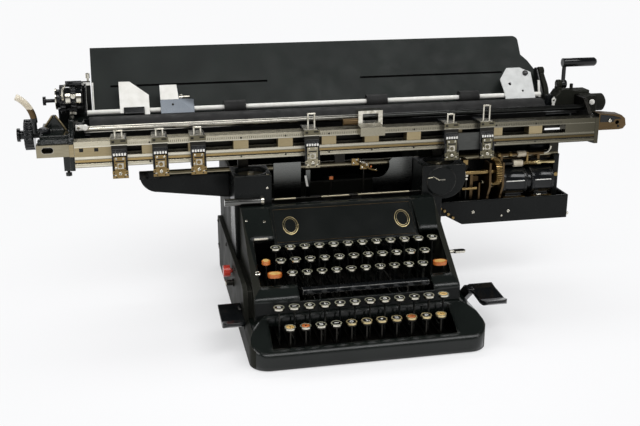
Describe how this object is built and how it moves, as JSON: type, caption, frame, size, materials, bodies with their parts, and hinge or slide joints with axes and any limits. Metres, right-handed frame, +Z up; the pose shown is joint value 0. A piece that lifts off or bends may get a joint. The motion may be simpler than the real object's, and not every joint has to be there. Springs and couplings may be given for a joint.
{
  "type": "typewriter adding machine",
  "caption": "Long-carriage typewriter adding machine with stepped keyboards, a register rail with sliding totalisers, a paper table and a side motor unit.",
  "frame": {"origin": "middle of the underside on the table, below the centre of the base", "axes": "+X to the right of the person typing, +Y to the back, +Z up"},
  "size_m": [0.85, 0.388, 0.339],
  "materials": {
    "enamel": "semi-gloss black-green enamel",
    "plate_enamel": "gloss enamel, bare",
    "black_gloss": "gloss black lacquer",
    "dark_steel": "dark oiled steel",
    "steel": "bare brushed steel",
    "nickel": "worn nickel plate",
    "aluminium": "cast, matt",
    "brass": "aged",
    "rubber": "matt",
    "cream_plastic": "aged ivory",
    "orange_plastic": "aged orange",
    "red_plastic": "gloss red"
  },
  "bodies": {
    "base": {"base_pan": "enamel", "bottom_plate": "dark_steel", "rubber_feet": "rubber", "keyboard_deck": "enamel", "front_plate": "plate_enamel", "side_panel_left": "enamel", "spool_housing_left": "black_gloss", "spool_housing_right": "black_gloss", "rear_frame": "enamel", "rear_cover": "enamel", "way_rods": "steel", "support_arm_left": "black_gloss", "motor_tray": "black_gloss", "motor_housing": "black_gloss", "gear_bracket": "brass", "type_segment": "dark_steel", "typebars": "dark_steel", "key_shafts": "steel", "card_holders": "dark_steel"},
    "carriage": {"carriage_beam": "dark_steel", "carriage_end_left": "enamel", "carriage_end_right": "dark_steel", "register_rail": "steel", "rail_spacers": "brass", "paper_table": "enamel", "linespace_housing": "black_gloss", "feed_housing": "black_gloss"},
    "platen_body": {"platen": "rubber", "platen_knob": "black_gloss"},
    "key_row_1": {"key_row_1": "nickel"},
    "key_row_2": {"key_row_2": "nickel"},
    "key_row_3": {"key_row_3": "nickel"},
    "key_row_4": {"key_row_4": "nickel"},
    "key_row_5": {"key_row_5": "nickel"},
    "space_bar": {"space_bar": "black_gloss"},
    "shift_key_left": {"shift_key_left": "orange_plastic"},
    "shift_key_right": {"shift_key_right": "orange_plastic"},
    "tab_key": {"tab_key": "orange_plastic"},
    "paddle_left": {"paddle_left": "black_gloss"},
    "paddle_right": {"paddle_right": "black_gloss"},
    "side_knob_red": {"side_knob_red": "red_plastic"},
    "ribbon_lever": {"ribbon_lever": "nickel"},
    "ribbon_spool_left": {"ribbon_spool_left": "steel"},
    "ribbon_spool_right": {"ribbon_spool_right": "steel"},
    "motor_rotor": {"motor_rotor": "steel"},
    "drive_gear": {"drive_gear": "brass"},
    "spring_drum": {"spring_drum": "steel"},
    "paper_bail": {"paper_bail": "nickel"},
    "bail_rollers": {"bail_rollers": "rubber"},
    "guide_left": {"guide_left": "cream_plastic"},
    "guide_middle": {"guide_middle": "aluminium"},
    "guide_right": {"guide_right": "nickel"},
    "linespace_lever": {"linespace_lever": "cream_plastic"},
    "feed_crank": {"feed_crank": "black_gloss"},
    "totaliser_1": {"totaliser_1": "dark_steel"},
    "totaliser_2": {"totaliser_2": "dark_steel"},
    "totaliser_3": {"totaliser_3": "dark_steel"},
    "totaliser_4": {"totaliser_4": "dark_steel"},
    "register_unit": {"register_unit": "dark_steel"},
    "margin_block": {"margin_block": "nickel"}
  },
  "joints": [
    {"name": "key_row_1_press", "type": "hinge", "parent": "base", "child": "key_row_1", "pos_m": [0, 0.15, 0.046], "axis": [1, 0, 0], "range_deg": [0, 2.05], "stiffness_Nm_per_rad": 20, "springref_deg": -2.86},
    {"name": "key_row_2_press", "type": "hinge", "parent": "base", "child": "key_row_2", "pos_m": [0, 0.15, 0.046], "axis": [1, 0, 0], "range_deg": [0, 2.5], "stiffness_Nm_per_rad": 20, "springref_deg": -2.86},
    {"name": "key_row_3_press", "type": "hinge", "parent": "base", "child": "key_row_3", "pos_m": [0, 0.15, 0.046], "axis": [1, 0, 0], "range_deg": [0, 2.5], "stiffness_Nm_per_rad": 20, "springref_deg": -2.86},
    {"name": "key_row_4_press", "type": "hinge", "parent": "base", "child": "key_row_4", "pos_m": [0, -0.058, 0.02], "axis": [1, 0, 0], "range_deg": [0, 4.5], "stiffness_Nm_per_rad": 8, "springref_deg": -3.44},
    {"name": "key_row_5_press", "type": "hinge", "parent": "base", "child": "key_row_5", "pos_m": [0, -0.058, 0.02], "axis": [1, 0, 0], "range_deg": [0, 3.8], "stiffness_Nm_per_rad": 8, "springref_deg": -3.44},
    {"name": "space_bar_press", "type": "hinge", "parent": "base", "child": "space_bar", "pos_m": [0, 0.15, 0.046], "axis": [1, 0, 0], "range_deg": [0, 1.7], "stiffness_Nm_per_rad": 12, "springref_deg": -2.86},
    {"name": "shift_key_left_press", "type": "hinge", "parent": "base", "child": "shift_key_left", "pos_m": [0, 0.15, 0.046], "axis": [1, 0, 0], "range_deg": [0, 2.6], "stiffness_Nm_per_rad": 5, "springref_deg": -2.86},
    {"name": "shift_key_right_press", "type": "hinge", "parent": "base", "child": "shift_key_right", "pos_m": [0, 0.15, 0.046], "axis": [1, 0, 0], "range_deg": [0, 2.6], "stiffness_Nm_per_rad": 5, "springref_deg": -2.86},
    {"name": "tab_key_press", "type": "hinge", "parent": "base", "child": "tab_key", "pos_m": [0, 0.15, 0.046], "axis": [1, 0, 0], "range_deg": [0, 2.8], "stiffness_Nm_per_rad": 5, "springref_deg": -2.86},
    {"name": "paddle_left_press", "type": "hinge", "parent": "base", "child": "paddle_left", "pos_m": [0, -0.07, 0.018], "axis": [1, 0, 0], "range_deg": [0, 10], "stiffness_Nm_per_rad": 3, "springref_deg": -3.44},
    {"name": "paddle_right_press", "type": "hinge", "parent": "base", "child": "paddle_right", "pos_m": [0, -0.07, 0.018], "axis": [1, 0, 0], "range_deg": [0, 10], "stiffness_Nm_per_rad": 3, "springref_deg": -3.44},
    {"name": "side_knob_pull", "type": "slide", "parent": "base", "child": "side_knob_red", "axis": [-1, 0, 0], "range_m": [0, 0.006], "stiffness_N_per_m": 300, "springref_m": -0.003},
    {"name": "ribbon_lever_swing", "type": "hinge", "parent": "base", "child": "ribbon_lever", "pos_m": [0.124, -0.044, 0.08], "axis": [1, 0, 0], "range_deg": [-15, 15]},
    {"name": "spool_left_spin", "type": "hinge", "parent": "base", "child": "ribbon_spool_left", "pos_m": [-0.122, 0.0175, 0.18], "axis": [0, 0, 1], "continuous": true},
    {"name": "spool_right_spin", "type": "hinge", "parent": "base", "child": "ribbon_spool_right", "pos_m": [0.143, 0.0175, 0.18], "axis": [0, 0, 1], "continuous": true},
    {"name": "motor_spin", "type": "hinge", "parent": "base", "child": "motor_rotor", "pos_m": [0.28, 0.042, 0.149], "axis": [1, 0, 0], "continuous": true},
    {"name": "drive_gear_spin", "type": "hinge", "parent": "base", "child": "drive_gear", "pos_m": [0.232, 0.02649, 0.16886], "axis": [1, 0, 0], "continuous": true},
    {"name": "spring_drum_spin", "type": "hinge", "parent": "base", "child": "spring_drum", "pos_m": [-0.088, 0.17, 0.104], "axis": [0, 1, 0], "range_deg": [-620, 620]},
    {"name": "carriage_slide", "type": "slide", "parent": "base", "child": "carriage", "axis": [1, 0, 0], "range_m": [-0.28, 0.28]},
    {"name": "platen_spin", "type": "hinge", "parent": "carriage", "child": "platen_body", "pos_m": [0, 0.085, 0.24], "axis": [1, 0, 0], "continuous": true},
    {"name": "bail_swing", "type": "hinge", "parent": "carriage", "child": "paper_bail", "pos_m": [0, 0.128, 0.292], "axis": [1, 0, 0], "range_deg": [-40, 0], "stiffness_Nm_per_rad": 0.8, "springref_deg": 11.46},
    {"name": "bail_rollers_spin", "type": "hinge", "parent": "paper_bail", "child": "bail_rollers", "pos_m": [0, 0.105, 0.262], "axis": [1, 0, 0], "continuous": true},
    {"name": "guide_left_slide", "type": "slide", "parent": "paper_bail", "child": "guide_left", "axis": [1, 0, 0], "range_m": [-0.03, 0.005]},
    {"name": "guide_middle_slide", "type": "slide", "parent": "paper_bail", "child": "guide_middle", "axis": [1, 0, 0], "range_m": [-0.005, 0.035]},
    {"name": "guide_right_slide", "type": "slide", "parent": "paper_bail", "child": "guide_right", "axis": [1, 0, 0], "range_m": [-0.025, 0.005]},
    {"name": "linespace_lever_swing", "type": "hinge", "parent": "carriage", "child": "linespace_lever", "pos_m": [-0.386, 0.058, 0.247], "axis": [0, 0, 1], "range_deg": [0, 40], "stiffness_Nm_per_rad": 0.6, "springref_deg": -5.73},
    {"name": "feed_crank_swing", "type": "hinge", "parent": "carriage", "child": "feed_crank", "pos_m": [0.364, 0.104, 0.276], "axis": [1, 0, 0], "range_deg": [0, 60]},
    {"name": "totaliser_1_slide", "type": "slide", "parent": "carriage", "child": "totaliser_1", "axis": [1, 0, 0], "range_m": [-0.02, 0.01]},
    {"name": "totaliser_2_slide", "type": "slide", "parent": "carriage", "child": "totaliser_2", "axis": [1, 0, 0], "range_m": [-0.01, 0.01]},
    {"name": "totaliser_3_slide", "type": "slide", "parent": "carriage", "child": "totaliser_3", "axis": [1, 0, 0], "range_m": [-0.01, 0.06]},
    {"name": "totaliser_4_slide", "type": "slide", "parent": "carriage", "child": "totaliser_4", "axis": [1, 0, 0], "range_m": [-0.06, 0.025]},
    {"name": "register_unit_slide", "type": "slide", "parent": "carriage", "child": "register_unit", "axis": [1, 0, 0], "range_m": [-0.02, 0.12]},
    {"name": "margin_block_slide", "type": "slide", "parent": "carriage", "child": "margin_block", "axis": [1, 0, 0], "range_m": [0, 0.04]}
  ],
  "couplings": [
    {"joint": "drive_gear_spin", "follows": "motor_spin", "ratio": -0.4},
    {"joint": "spring_drum_spin", "follows": "carriage_slide", "rad_per_m": 38.462},
    {"joint": "bail_rollers_spin", "follows": "platen_spin", "ratio": -2.1204},
    {"joint": "spool_right_spin", "follows": "spool_left_spin", "ratio": 1}
  ]
}
